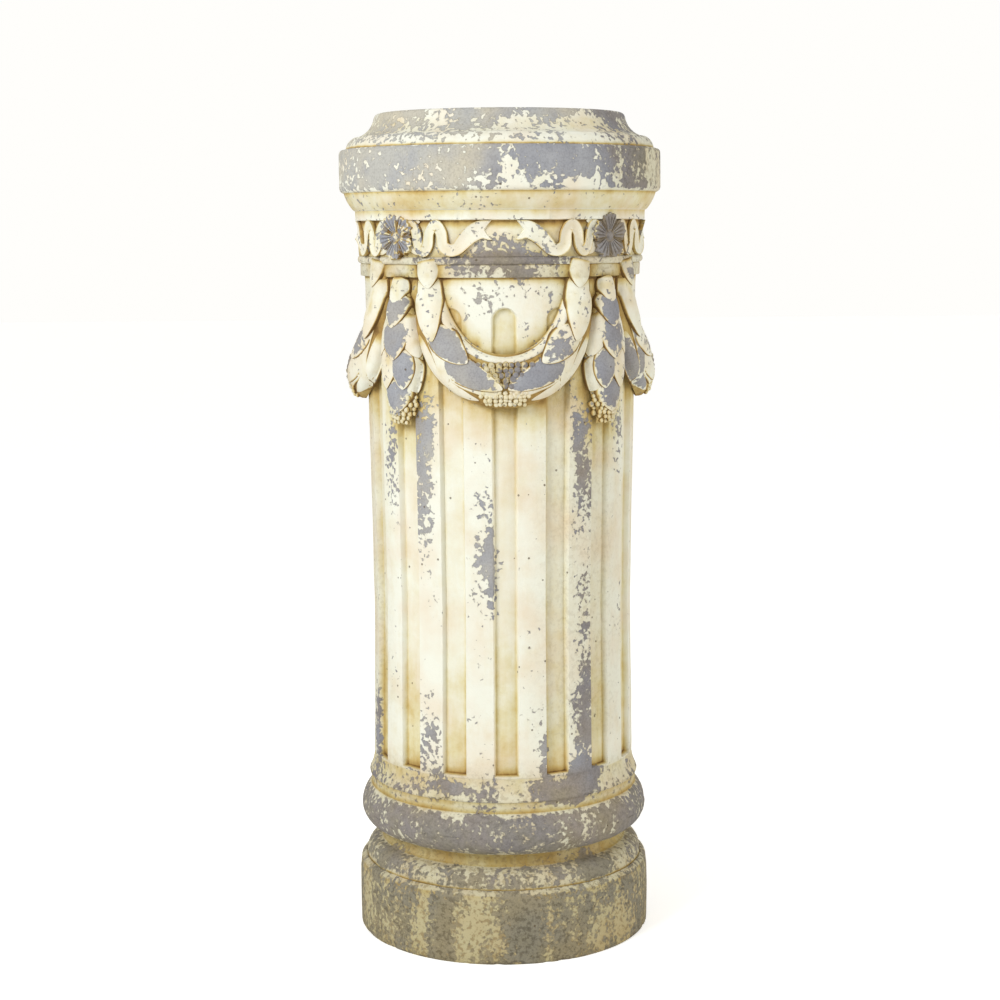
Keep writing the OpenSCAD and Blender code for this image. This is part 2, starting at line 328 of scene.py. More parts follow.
def head_outline():
    """fascia, bead, frieze, quarter-round, abacus and the raised top with its hollow side"""
    a, n, f = ABACUS_R, NECK_R, FRIEZE_R
    fascia = [(n, Z_HEAD - 0.3), (n + 4.2, Z_HEAD), (n + 4.2, Z_HEAD + 6), (n + 4.2, Z_BEAD - 0.8),
              (n + 3.2, Z_BEAD)]
    t = np.radians(np.linspace(-80, 80, 10))
    bead = np.c_[n + 3 + BEAD_R * np.cos(t), Z_BEAD + BEAD_R + BEAD_R * np.sin(t)]
    frieze = [(f, Z_FRIEZE), (f, Z_FRIEZE + 8), (f, Z_FRIEZE + 17), (f, Z_STRIP - 9), (f, Z_STRIP),
              (f + 4.5, Z_STRIP + 0.3), (f + 4.5, Z_OVOLO - 0.5)]
    ovolo = bow((f + 6, Z_OVOLO), (a - 4.5, Z_ABACUS + 0.3), 40, 9)
    slab_foot = bow((a - 5, Z_ABACUS), (a, Z_ABACUS + 5.5), 5.6, 6)
    slab = [(a, Z_ABACUS + 14), (a, Z_ABACUS + 24)]
    slab_top = bow((a, Z_TOP - 4.5), (a - 4.5, Z_TOP), 4.6, 6)
    shoulder = bow((a - 7, Z_TOP + 0.6), (a - 13.5, Z_TOP + 11), 14, 8)
    hollow = bow((a - 13.6, Z_TOP + 11.3), (a - 35.4, HEIGHT - 4), -24, 12)
    seat = [(a - 36.5, HEIGHT - 1.5), (a - 38.5, HEIGHT), (a - 60, HEIGHT), (60, HEIGHT), (0, HEIGHT)]
    return [fascia, bead, frieze, ovolo, slab_foot, slab, slab_top, [(a - 6.8, Z_TOP + 0.1)], shoulder, hollow,
            seat]


def outline():
    """the turned profile from the middle of the underside to the middle of the top, as radius and height"""
    line = np.concatenate(base_outline() + shaft_outline() + head_outline())
    return soften(line.astype(float), 0.8)


# ------------------------------------------------------------------ garlands and drops as heights over the shaft

SWAG_REACH = math.radians(31) * GARLAND_R    # 74 mm from a garland's middle to each of its ends
SWAG_SAG = 84
SWAG_TOP = Z_HEAD - 14.5
SWAG_UP = np.arange(4.0, 34, 3)              # the upright part over each end
DROP_TOP, DROP_LONG = Z_HEAD - 4, 134


def swag_line(p):
    """middle line of a garland, half an ellipse; p is the angle on it, -90 and 90 at its ends"""
    p = np.radians(p)
    return np.stack([SWAG_REACH * np.sin(p), SWAG_TOP - SWAG_SAG * np.cos(p)], -1)


def swag_half(p):
    """half width of a garland: 11 mm plus 14.5 times cos p ^ 0.6"""
    return 11 + 14.5 * np.maximum(0, np.cos(np.radians(p))) ** 0.6


def swag_rise(p):
    """how far its body stands out: 5 mm plus 9.5 times cos p ^ 0.8"""
    return 5 + 9.5 * np.maximum(0, np.cos(np.radians(p))) ** 0.8


def upright(side):
    """upright part over the end at that side, going up"""
    return np.c_[side * SWAG_REACH + 0 * SWAG_UP, SWAG_TOP + SWAG_UP]


SWAG_P = np.concatenate([-90 + 0 * SWAG_UP, np.linspace(-90, 90, 181), 90 + 0 * SWAG_UP])
SWAG_XZ = np.concatenate([upright(-1)[::-1], swag_line(np.linspace(-90, 90, 181)), upright(1)])
SWAG_HALF = swag_half(SWAG_P)
SWAG_RISE = swag_rise(SWAG_P)


def swag_place(x, z):
    """distance of a point from the garland's middle line, with that place's half width and rise"""
    d = np.hypot(x[..., None] - SWAG_XZ[:, 0], z[..., None] - SWAG_XZ[:, 1])
    k = d.argmin(-1)
    return d.min(-1), SWAG_HALF[k], SWAG_RISE[k]


def drop_place(x, z):
    """the same for a drop, with t from 0 at its top to 1 at its tip: half width 8 + 18 sin(150 t + 10) squared,
    rise 4 + 7 sin(150 t + 15)"""
    t = np.clip((DROP_TOP - z) / DROP_LONG, 0, 1)
    half = 8 + 18 * np.sin(np.radians(t * 150 + 10)) ** 2
    return np.abs(x), half, 4 + 7 * np.sin(np.radians(t * 150 + 15))


def swag_ground(x, z):
    """height of the garland's rounded body over the shaft: rise times (1 - (distance / half width) squared) ^ 0.4"""
    e, half, rise = swag_place(x, z)
    return rise * np.clip(1 - (e / half) ** 2, 0, 1) ** 0.4


def drop_ground(x, z):
    """height of a drop's body over the shaft, as swag_ground; it fades out over 10 mm at its tip"""
    e, half, rise = drop_place(x, z)
    tip = np.clip((z - (Z_HEAD - 142)) / 10, 0, 1) ** 0.5
    return rise * np.clip(1 - (e / half) ** 2, 0, 1) ** 0.4 * tip


def frieze_ground(x, z):
    return FRIEZE_H + 0 * x


def on_ring(a, r, z):
    """point at angle a in radians, radius r and height z"""
    return np.stack([r * np.sin(a), -r * np.cos(a), z + 0 * r], -1)


def on_column(x, z, h, turn):
    """point x mm round the garlands' cylinder from angle turn, z up and h out"""
    return on_ring(x / GARLAND_R + math.radians(turn), GARLAND_R + h, z)


def off_swag(a, z):
    """distance in mm past the edge of the nearest garland, 0 within it"""
    e, half, _ = swag_place(((a + 45) % 90 - 45) * DEGREE_MM, z)
    return np.maximum(e - half, 0)


def off_drop(a, z):
    """distance in mm past the side of the nearest drop, 0 within it"""
    e, half, _ = drop_place((a % 90 - 45) * DEGREE_MM, z)
    return np.maximum(e - half, 0)


# ------------------------------------------------------------------ weather and painted shade: bare cast, soil with painted shade, age

# how bare the paint is by height: worn on the plinth, the half-round and the head, sound on the shaft
BARE_LEVELS = [
    (0, .56), (66, .60), (72, .30), (77, .46), (90, .42), (96, .26), (104, .24), (112, .74), (145, .66),
    (150, .30), (160, .32), (176, .34), (192, .03), (HEIGHT - 190, .04), (HEIGHT - 162, .12), (HEIGHT - 140, .08),
    (HEIGHT - 78, .10), (HEIGHT - 74, .55), (HEIGHT - 37, .60), (HEIGHT - 33, .30), (HEIGHT - 24, .36),
    (HEIGHT - 18, .74), (HEIGHT - 4, .74), (HEIGHT, .60)]
# how old the surface looks by height: dark and brown toward the ground, fresh at the top
AGE_LEVELS = [
    (0, .95), (60, .90), (74, .76), (90, .74), (105, .74), (115, .62), (150, .62), (165, .58), (182, .52),
    (200, .36), (HEIGHT - 230, .32), (HEIGHT - 161, .32), (HEIGHT - 159, .60), (HEIGHT - 138, .56),
    (HEIGHT - 133, .4), (HEIGHT - 80, .26), (HEIGHT - 35, .26), (HEIGHT - 31, .10), (HEIGHT, .06)]
# patches: angle, height, half width in degrees, half height, how much barer or, below 0, sounder
PATCHES = [
    # streaks down the shaft
    (-75, 220, 6, 42, .7), (-55, 485, 4.5, 44, .50), (-36, 505, 6.5, 52, .80), (-36, 425, 6, 34, .40),
    (-35, 218, 6, 50, .42), (-8, 402, 6, 58, .50), (-4, 385, 4, 50, .50), (-3, 345, 3, 26, .25),
    (17.5, 208, 3.4, 38, .85), (33, 505, 4, 50, .25), (36, 492, 6, 58, .55), (37, 345, 6, 62, .44),
    (36, 240, 6.5, 56, .82), (58, 512, 4.5, 32, .50),
    # foot of the shaft
    (-23, 170, 8, 8, .70), (25, 170, 13, 9, .70), (36, 182, 9, 12, .7),
    # neck, fascia and frieze over the front garland
    (-1, 658, 17, 10, .27), (1, 680, 23, 8, .72), (0, 687, 26, 4, .45), (-2, 699, 8, 10, .62),
    # abacus
    (-33, 776, 27, 18, .22), (2, 772, 5, 18, -.35), (19, 783, 15, 14, .35), (20, 758, 18, 6, -.65),
    (47, 775, 12, 20, .10), (70, 772, 10, 26, -.50),
    # raised top
    (-28, 815, 7, 12, -.45), (9, 816, 10, 8, -.40), (36, 815, 14, 10, -.50),
    # flare, scotia and half-round
    (-62, 130, 9, 18, -.35), (-60, 130, 12, 14, .3), (-60, 84, 8, 12, .5), (38, 92, 7, 12, .85),
    (58, 120, 8, 20, .2),
    # plinth
    (-36, 40, 5, 42, -.5), (-32, 40, 10, 40, .20), (-13, 22, 7, 34, -.30), (6, 45, 9, 34, .35),
    (45, 20, 18, 26, -.30),
]
# streaks on the sides and back of the shaft, and patches on the mouldings, in keeping with the front
for _ in range(16):
    PATCHES.append((rng.uniform(88, 272),
                    rng.choice([rng.uniform(190, 300), rng.uniform(420, 540), rng.uniform(300, 420)]),
                    rng.uniform(3, 6.5), rng.uniform(30, 60), rng.uniform(.4, .8)))
for _ in range(14):
    PATCHES.append((rng.uniform(70, 290), rng.choice([20.0, 50.0, 130.0, 165.0, 680.0, 775.0]),
                    rng.uniform(6, 16), rng.uniform(8, 22), rng.uniform(-.4, .5)))


def angle_of(p):
    """angle round the column in degrees, from -180 to 180"""
    return np.degrees(np.arctan2(p[..., 0], -p[..., 1]))


def bareness(p):
    """how bare the paint is at points: a level for the height, plus each patch's share times
    exp(-(distance across / half width) cubed - (distance up / half height) cubed), its outline pushed about by
    noise"""
    a = angle_of(p) + 5 * (noise(p, 19) - .5)
    z = p[..., 2] + 22 * (noise(p, 27) - .5)
    bare = np.interp(p[..., 2], *zip(*BARE_LEVELS))
    for middle, height, wide, high, much in PATCHES:
        off = (a - middle + 180) % 360 - 180
        bare = bare + much * np.exp(-np.abs(off / wide) ** 3 - np.abs((z - height) / high) ** 3)
    return bare


def age(p):
    """how old the surface looks: a level for the height, less at the left of the head, which is a pale warm grey,
    more at its right, and a little up and down round the shaft"""
    a, z = angle_of(p), p[..., 2]
    head = 0.40 * between(26, 50, 100, 150, a) - 0.26 * between(-150, -100, -16, -2, a)
    shaft = 0.14 * np.sin(np.radians(3 * a - 20)) * between(200, 230, 660, 690, z)
    old = np.interp(z, *zip(*AGE_LEVELS)) + head * step(Z_ABACUS - 7, Z_ABACUS + 8, z) + shaft
    return np.clip(old, 0, 1)


def shade_and_soil_by_ornament(a, z, off):
    """painted shade with soil beside garlands and drops, fading over 5 and 7 mm from their edges, and a wider stain
    round both; off is the distance past a garland's edge"""
    wide = 13 + 17 * step(Z_HEAD - 90, Z_HEAD - 125, z)
    by_swag = np.maximum(hump(off, 0, 5), 0.62 * hump(off, 0, wide)) * step(Z_HEAD - 190, Z_HEAD - 140, z)
    past = off_drop(a, z)
    by_drop = hump(past, 0, 7) * between(Z_HEAD - 160, Z_HEAD - 142, Z_HEAD, Z_HEAD + 2, z)
    stain = 0.85 * hump(past, 0, 22) * between(Z_HEAD - 200, Z_HEAD - 130, Z_HEAD - 95, Z_HEAD - 50, z)
    return np.maximum(np.maximum(by_swag, by_drop), stain)


# ------------------------------------------------------------------ the turned and fluted body

def bulge_of(line):
    """how far each point of a line stands out, in mm, from the line averaged over 4 mm; below 0 in hollows"""
    s = np.r_[0, np.cumsum(np.hypot(*np.diff(line, axis=0).T))]
    weight = np.exp(-0.5 * ((s[:, None] - s) / 4) ** 2) * np.gradient(s)
    mean = weight @ line / weight.sum(1, keepdims=True)
    tangent = np.gradient(line, s + 1e-9 * np.arange(len(s)), axis=0)
    normal = np.c_[tangent[:, 1], -tangent[:, 0]] / (np.hypot(*tangent.T)[:, None] + 1e-9)
    return np.sum((line - mean) * normal, 1)


def bay_columns(z):
    """places across one bay in mm from its middle, for each row. They keep to the edge of the flute, close in
    with its arched head and open again toward the column's head"""
    arch = np.sqrt(np.maximum(FLUTE_HALF ** 2 - (z - Z_ARCH) ** 2, 0.4))
    above = 0.6 + (FLUTE_HALF - 0.6) * step(Z_ARCH + FLUTE_HALF, Z_HEAD, z)
    half = np.where(z < Z_ARCH, FLUTE_HALF, arch)
    half = np.where(z > Z_ARCH + FLUTE_HALF, above, half)[:, None]
    inside = np.array([0, .3, .6, .82, .88, .94, 1])
    outside = np.array([.05, .14, .38, .68, 1])
    right = np.concatenate([half * inside, half + (BAY_HALF - half) * outside], 1)
    return np.concatenate([-right[:, -2:0:-1], right], 1)


def body_soil_and_shade(a, r, z, bulge, within, sunk, off):
    """soil and painted shade on the turned body, summed up from the places where they gather"""
    # darker in the hollows of the outline: painted shade there, with soil
    soil_and_shade = 0.80 * np.clip(-bulge / 1.4, 0, 1) * np.where(r < SHAFT_R - 6, .75, 1)
    # in the flutes, soil with painted shade in the hollow, more of it at the neck, down the lower half and just over
    # the foot, and along their edges, where a dark line is painted shade in the corner with soil
    in_flutes = 0.12 + 0.22 * step(Z_HEAD - 80, Z_HEAD - 70, z)
    in_flutes = in_flutes + 0.34 * step(400, Z_FLUTE + 3, z) + 0.35 * np.exp(-np.abs(z - Z_FLUTE) / 5)
    soil_and_shade = soil_and_shade + in_flutes * sunk
    soil_and_shade = soil_and_shade + 0.16 * hump(within, FLUTE_EDGE, 1.1) * (r < SHAFT_R + 8) * (z > Z_FLUTE)
    # darker toward the sides of the shaft, about 82 degrees from the front; and round the ornament, painted shade
    # with soil beside its edges
    away = np.abs((a + 180) % 360 - 180)
    soil_and_shade = soil_and_shade + 0.10 * hump(away, 82, 22) * step(180, 200, z) * (z < Z_HEAD)
    soil_and_shade = soil_and_shade + (0.78 - 0.25 * sunk) * shade_and_soil_by_ornament(a, z, off) * (z < Z_BEAD)
    # darker at the foot of the plinth and in a line near its upper edge; soil with painted shade in the scotia, at
    # the foot of the shaft, on the quarter-round under the abacus and in the frieze
    soil_and_shade = soil_and_shade + 0.30 * step(20, 0, z) * (r > 100) + 0.6 * hump(z, Z_PLINTH - 3.5, 2) * (r > SHAFT_R + 15)
    soil_and_shade = soil_and_shade + 0.08 * between(Z_FLARE - 4, Z_FLARE + 1, Z_TORUS, Z_TORUS + 4, z)
    soil_and_shade = soil_and_shade + 0.22 * between(Z_BAND - 1, Z_BAND + 3, Z_FLUTE - 9, Z_FLUTE + 11, z)
    soil_and_shade = soil_and_shade + 0.40 * between(Z_OVOLO - 1, Z_OVOLO + 1, Z_ABACUS, Z_ABACUS + 2, z)
    return soil_and_shade + 0.30 * between(Z_FRIEZE - 1, Z_FRIEZE + 1, Z_STRIP - 1, Z_STRIP, z)


def body_patch():
    """the outline carried round the column on equal bays, a flute in each, sunk by its depth times a smooth step
    of the distance within its edge"""
    line = outline()
    bulge = bulge_of(line)[:, None]
    x = bay_columns(line[:, 1])
    turn = np.repeat(np.arange(FLUTES) * 2 * math.pi / FLUTES, x.shape[1])
    x = np.tile(x, (1, FLUTES))
    ring = x / SHAFT_R + turn
    a = np.degrees(ring)
    r, z = line[:, :1] + 0 * x, line[:, 1:] + 0 * x
    within = np.where(z < Z_ARCH, np.minimum(FLUTE_HALF - np.abs(x), (z - Z_FLUTE) * 1.4),
                      FLUTE_HALF - np.hypot(x, z - Z_ARCH))
    # a flute's head is nearly filled with paint where it runs against a garland
    off = off_swag(a, z)
    filled = 0.8 * hump(off, 0, 12) * step(Z_HEAD - 72, Z_HEAD - 62, z)
    sunk = step(0, FLUTE_EDGE, within) * (1 - filled)
    out = r - FLUTE_DEEP * sunk
    # hand-cast unevenness, and small chips off the sharp edges; both only ever take away
    p = on_ring(ring, out, z)
    lumps = 0.7 * noise(p, 42) + 0.35 * noise(p, 11)
    chips = 2.2 * np.clip(bulge, 0, 1) * step(.56, .74, noise(p, 8) * .6 + noise(p, 23) * .4)
    out = np.where(r > 100, out - lumps * np.minimum(1, (r - 100) / 20) - chips, out)
    # a low swelling in the frieze over each garland
    aside = ((a + 45) % 90 - 43) / 9
    out = out + 1.6 * np.exp(-aside ** 4 - ((z - Z_FRIEZE - 8) / 9) ** 4)
    p = on_ring(ring, out, z)
    bare = bareness(p) - 0.55 * sunk - 0.25 * np.clip(-bulge, 0, 1) + 0.12 * np.clip(bulge, 0, 1)
    return patch(p, weather(bare, body_soil_and_shade(a, r, z, bulge, within, sunk, off), age(p)), closed=True)


# ------------------------------------------------------------------ lines and spreads for the ornament

def edgeward(n):
    """n places from -1 to 1, closer together toward both ends"""
    return np.sin(np.linspace(-1, 1, n) * math.pi / 2)


def left_of(line):
    """unit vectors along a line and to its left, one of each for each of its points"""
    along = np.gradient(line, axis=0)
    along = along / np.hypot(*along.T)[:, None]
    return along, np.c_[-along[:, 1], along[:, 0]]


def spread(line, half, v):
    """grids of x and z: from each point of a line, v half widths to its left"""
    _, side = left_of(line)
    off = np.reshape(half, (-1, 1)) * v
    return line[:, 0, None] + side[:, 0, None] * off, line[:, 1, None] + side[:, 1, None] * off


def along_swag(start, end, offset, n=14):
    """line beside the garland's middle line from angle start to end: offset is the share of the half width,
    above 0 toward the inside of the curve"""
    p = np.linspace(start, end, n)
    q = np.radians(p)
    along = np.c_[SWAG_REACH * np.cos(q), SWAG_SAG * np.sin(q)]
    inward = np.c_[-along[:, 1], along[:, 0]] / np.hypot(*along.T)[:, None]
    return swag_line(p) + inward * (offset * swag_half(p))[:, None]


def curved(root, tip, bend=0.0, n=9):
    """line from root to tip, bent to its left by that many mm at its middle"""
    root, tip = np.array(root, float), np.array(tip, float)
    d = tip - root
    side = np.array([-d[1], d[0]]) / np.hypot(*d)
    t = np.linspace(0, 1, n)[:, None]
    return root + d * t + side * bend * 4 * t * (1 - t)


def spline(points, n):
    """smooth line through points (Catmull-Rom), n points"""
    p = np.array(points, float)
    p = np.concatenate([2 * p[:1] - p[1:2], p, 2 * p[-1:] - p[-2:-1]])
    t = np.linspace(0, len(p) - 3 - 1e-6, n)
    i, f = t.astype(int), (t % 1)[:, None]
    a, b, c, d = p[i], p[i + 1], p[i + 2], p[i + 3]
    return 0.5 * (2 * b + (c - a) * f + (2 * a - 5 * b + 4 * c - d) * f ** 2 + (3 * b - 3 * c + d - a) * f ** 3)


# ------------------------------------------------------------------ leaves and berries

def leaf(ground, turn, axis, width, raised, dome, bare, rows=26, root=0.0):
    """leaf lying on a ground, on its middle line axis from root to tip. Half width: sin(pi t ^ 0.7) ^ 0.6, and
    before its widest place at least the share root. Its face is a dome 1 - |v| ^ 2.6 across, over a height that
    grows from raised[0] at the root to raised[1] at the tip, with a shallow midrib and faint side veins. A last
    column on each side drops into the ground as its edge"""
    ends = np.linspace(0, 1, len(axis))
    t = np.linspace(0, 1, rows)
    mid = np.c_[np.interp(t, ends, axis[:, 0]), np.interp(t, ends, axis[:, 1])]
    w = width / 2 * np.sin(math.pi * np.clip(t, 0.004, 0.996) ** 0.7) ** 0.6
    w = np.where(t ** 0.7 < 0.5, width / 2 * root + (1 - root) * w, w)
    v = np.r_[-1.03, edgeward(13), 1.03]
    fold = np.abs(v) > 1
    x, z = spread(mid, w, v)
    t, w = t[:, None], w[:, None]
    arch = np.sin(math.pi * t)
    h = ground(x, z) + raised[0] + (raised[1] - raised[0]) * t
    h = h + dome * (w / (width / 2)) * (1 - np.minimum(np.abs(v), 1) ** 2.6)
    h = h - 0.35 * hump(v * w, 0, 1) * arch - 0.22 * np.sin(t * 34 + np.abs(v) * 7) * arch * (1 - np.abs(v))
    h = h - 0.9 * noise(on_column(x, z, h, turn), 12) - np.where(fold, raised[1] + 2.5, 0)
    if root:
        h[0] -= 6
    p = on_column(x, z, np.maximum(h, -1.5), turn)
    # darker along the edges, at the root under the leaf laid over it, and on the edge that drops into the ground:
    # painted shade in these creases, with soil; noise adds stains
    soil_and_shade = 0.10 + 0.85 * step(.86, .98, np.abs(v)) + 0.55 * step(.16, 0, t) + fold * 0.5
    soil_and_shade = soil_and_shade + 0.5 * np.clip(noise(p, 9) - .45, 0, 1)
    worn = 1.4 * bare * (1 - np.abs(np.clip(v, -1, 1)) ** 3.5) * arch ** .6 - 0.5 * fold
    return patch(p, weather(worn, soil_and_shade, 0.14 + 0.5 * age(p)))


def berries(places, ground, turn, size, lift, grey=False):
    """round berries bedded in a ground: a small sphere of 6 by 8 faces at each place (x, z)"""
    places = np.array(places, float)
    uneven = np.random.default_rng(len(places) + 3)
    places = places + uneven.uniform(-.7, .7, places.shape)
    size = size * uneven.uniform(.80, 1.12, (len(places), 1, 1, 1))
    h = ground(places[:, 0], places[:, 1]) + lift + uneven.uniform(-.5, .5, len(places))
    middle = on_column(places[:, 0], places[:, 1], h, turn)
    u, v = np.radians(np.linspace(0, 180, 7))[:, None], np.radians(np.arange(0, 360, 45))
    ball = np.stack([np.sin(u) * np.cos(v), np.sin(u) * np.sin(v), np.cos(u) + 0 * v], -1)
    p = middle[:, None, None, :] + ball * size / 2
    outward = middle * [1, 1, 0] / np.hypot(middle[:, 0], middle[:, 1])[:, None]
    facing = np.sum(ball * outward[:, None, None, :], -1)
    # a berry is barer where it faces out, and darker where it turns away into the gaps between berries: painted
    # shade there, with soil
    worn, outward_lighter, old = (0.70, 0.55, 0.55) if grey else (0.2, 0.62, 0.3)
    shares = weather(worn * facing, 0.95 - outward_lighter * step(-.1, .6, facing), old)
    faces = grid_faces(7, 8, True)[:, ::-1]
    number = np.arange(len(places))[:, None, None] * 7 * 8
    return p.reshape(-1, 3), shares.reshape(-1, 3), (faces + number).reshape(-1, 4)


def heap(pitch, rows, half):
    """places in staggered rows; half(z) is half the length of the row at z"""
    out = []
    for k, z in enumerate(rows):
        w = half(z)
        count = max(1, int(round(2 * w / pitch)))
        out += [(-w + 2 * w * (i + 0.5 * (k % 2)) / count, z) for i in range(count + 1 - k % 2)]
    return out


# ------------------------------------------------------------------ garlands and drops

def swag_body(turn):
    """the garland's rounded body as a strip of 21 columns across its outline, and the rim at its inner edge: a
    band 4.4 mm to each side of a line at 0.84 of the half width, 2.2 mm high and rounded as 1 - q squared"""
    v = edgeward(21)
    x, z = spread(SWAG_XZ[::2], SWAG_HALF[::2], v)
    h = SWAG_RISE[::2, None] * (1 - v ** 2) ** 0.4 - 0.6 * (np.abs(v) > .999)
    # the body shows only in the gaps between the leaves, darkened as painted shade there with soil
    body = patch(on_column(x, z, h, turn), (0.05, 0.84, 0.3))
    # the rim: darker along its edges, painted shade in the creases with soil
    q = np.linspace(-1, 1, 9)
    x, z = spread(along_swag(-84, 84, .84, 90), 4.4, q)
    h = swag_ground(x, z) * (1 - 0.5 * step(.2, 1, q)) + 2.2 * (1 - q ** 2) - 1.2 * (np.abs(q) > .99)
    return [body, patch(on_column(x, z, h, turn), weather(.22, .15 + .7 * step(.7, 1, np.abs(q)), .3))]


def upper_berries(z):
    return max(3.0, (z - (Z_HEAD - 102)) * 0.95 + 4)


def lower_berries(z):
    return 21 * math.sqrt(max(0.05, 1 - ((z - (Z_HEAD - 110)) / 15) ** 2))


def drop_berries(z):
    return 18 * math.sqrt(max(0.05, 1 - ((z - (Z_HEAD - 120)) / 21) ** 2))


def garland(g):
    """garland number g: body and rim, seven leaves on each side laid from the bottom up, and two heaps of
    berries"""
    turn = g * 90
    local = np.random.default_rng(20 + g)
    top = Z_HEAD
    # name, middle line, width, height at root and tip, dome
    parts = [
        ("outer", along_swag(66, 14, -.80), 15, (0.2, 0.8), 1.6),
        ("lower", curved((60, top - 80), (6, top - 113), -3), 26, (0.2, 2.2), 2.2),
        ("outer", curved((80, top - 30), (53, top - 108), -7), 18, (0.4, 1.8), 2.0),
        ("middle", curved((58, top - 72), (2.5, top - 104.5), 2.5), 27, (0.5, 4.0), 2.2),
        ("upper", curved((66, top - 46), (32, top - 79.5), 2), 28, (1.0, 4.8), 2.4),
        ("long", curved((75, top), (64.5, top - 60), 1.5), 29, (0.8, 4.8), 2.6),
        ("cap", curved((75.5, top + 17), (70.5, top - 10)), 23, (1.8, 4.6), 2.4),
    ]
    broad_root = {"cap": .92, "long": .8}
    shapes = swag_body(turn)
    for e in (-1, 1):
        wear = {"cap": .10, "long": .20, "upper": .92 if e < 0 else .52, "middle": .95 if e < 0 else .80,
                "lower": .12 if e < 0 else .05, "outer": .05}
        if g:
            wear = {name: float(local.choice([.05, .15, .4, .9], p=[.35, .3, .15, .2])) for name in wear}
        for name, axis, width, raised, dome in parts:
            shapes.append(leaf(swag_ground, turn, axis * (e, 1), width, raised, dome, wear[name], 30,
                               broad_root.get(name, 0)))
    upper = heap(5.7, np.arange(top - 101, top - 78, 4.8), upper_berries)
    lower = heap(4.4, np.arange(top - 119, top - 104, 3.8), lower_berries)
    return shapes, [berries(upper, swag_ground, turn, 7.0, 0.9, grey=True),
                    berries(lower, swag_ground, turn, 5.4, 0.5)]


def drop(g):
    """drop number g: its rounded body, leaves laid like shingles from the bottom up, and berries at its tip"""
    turn = 45 + g * 90
    local = np.random.default_rng(40 + g)
    top = Z_HEAD
    z = np.linspace(top - 142, top - 4, 40)[:, None]
    v = edgeward(17)
    x = drop_place(0 * z, z)[1] * v
    h = drop_ground(x * 0.999, z + 0 * x) - 0.6 * (np.abs(v) > .999)
    # the drop's body shows only between its leaves, darkened as painted shade there with soil
    shapes = [patch(on_column(x, z + 0 * x, h, turn), (0.1, 0.6, 0.2))]
    if g in (0, 3):
        worn = [0.72] * 3
    else:
        worn = [float(local.choice([.15, .55, .85], p=[.35, .35, .3])) for _ in range(3)]
    # root, tip, bend, width, height at root and tip, dome, how bare
    parts = []
    for e in (-1, 1):
        parts.append(((e * 16, top - 72), (e * 20, top - 110), -2 * e, 24, (0.2, 1.8), 2.2, .1))
        parts.append(((e * 13, top - 34), (e * 25, top - 76), -3 * e, 20, (0.2, 2.2), 2.2, .1))
    parts.append(((0, top - 96), (1, top - 130), 0, 36, (0.4, 3.6), 2.6, worn[0]))
    bare_side = 1 if g else -1
    for e in (-1, 1):
        parts.append(((e * 5, top - 68), (e * 10, top - 107), 2 * e, 27, (0.5, 4.4), 2.4,
                      .85 if e == bare_side else .1))
    parts.append(((0, top - 36), (1, top - 79), 0, 34, (0.5, 4.4), 2.6, worn[1]))
    parts.append(((0, top - 14), (-1, top - 48), 0, 30, (0.5, 4.4), 2.6, worn[2]))
    parts.append(((0, top + 1), (0, top - 26), 0, 24, (0.8, 3.4), 2.4, .1))
    for root, tip, bend, width, raised, dome, bare in parts:
        shapes.append(leaf(drop_ground, turn, curved(root, tip, bend), width, raised, dome, bare))
    places = heap(4.7, np.arange(top - 139, top - 112, 4.1), drop_berries)
    return shapes, [berries(places, drop_ground, turn, 5.6, 0.7)]


# ------------------------------------------------------------------ rosettes and ribbons

ROSETTE_R = 21.3
BUTTON_R = 4.6
# middle line of a ribbon from its rosette to its tail: degrees from the garland's middle, mm up the frieze
RIBBON_LINE = [(41, 14), (39.6, 25), (37.2, 30.5), (35, 24), (33.8, 10), (31.8, 5), (29.9, 11), (29.1, 23),
               (26.6, 30), (24.2, 23), (23.5, 11), (21, 6.5), (18, 7.5), (15.8, 13), (13, 20), (9.9, 24.5),
               (7.3, 25)]
# its half width in mm from 0 at the rosette to 1 at the tail
RIBBON_HALF = [(0, 3.8), (.3, 5.0), (.55, 5.2), (.66, 5.7), (.76, 6.0), (.86, 7.6), (.94, 8.4), (1, 9.4)]


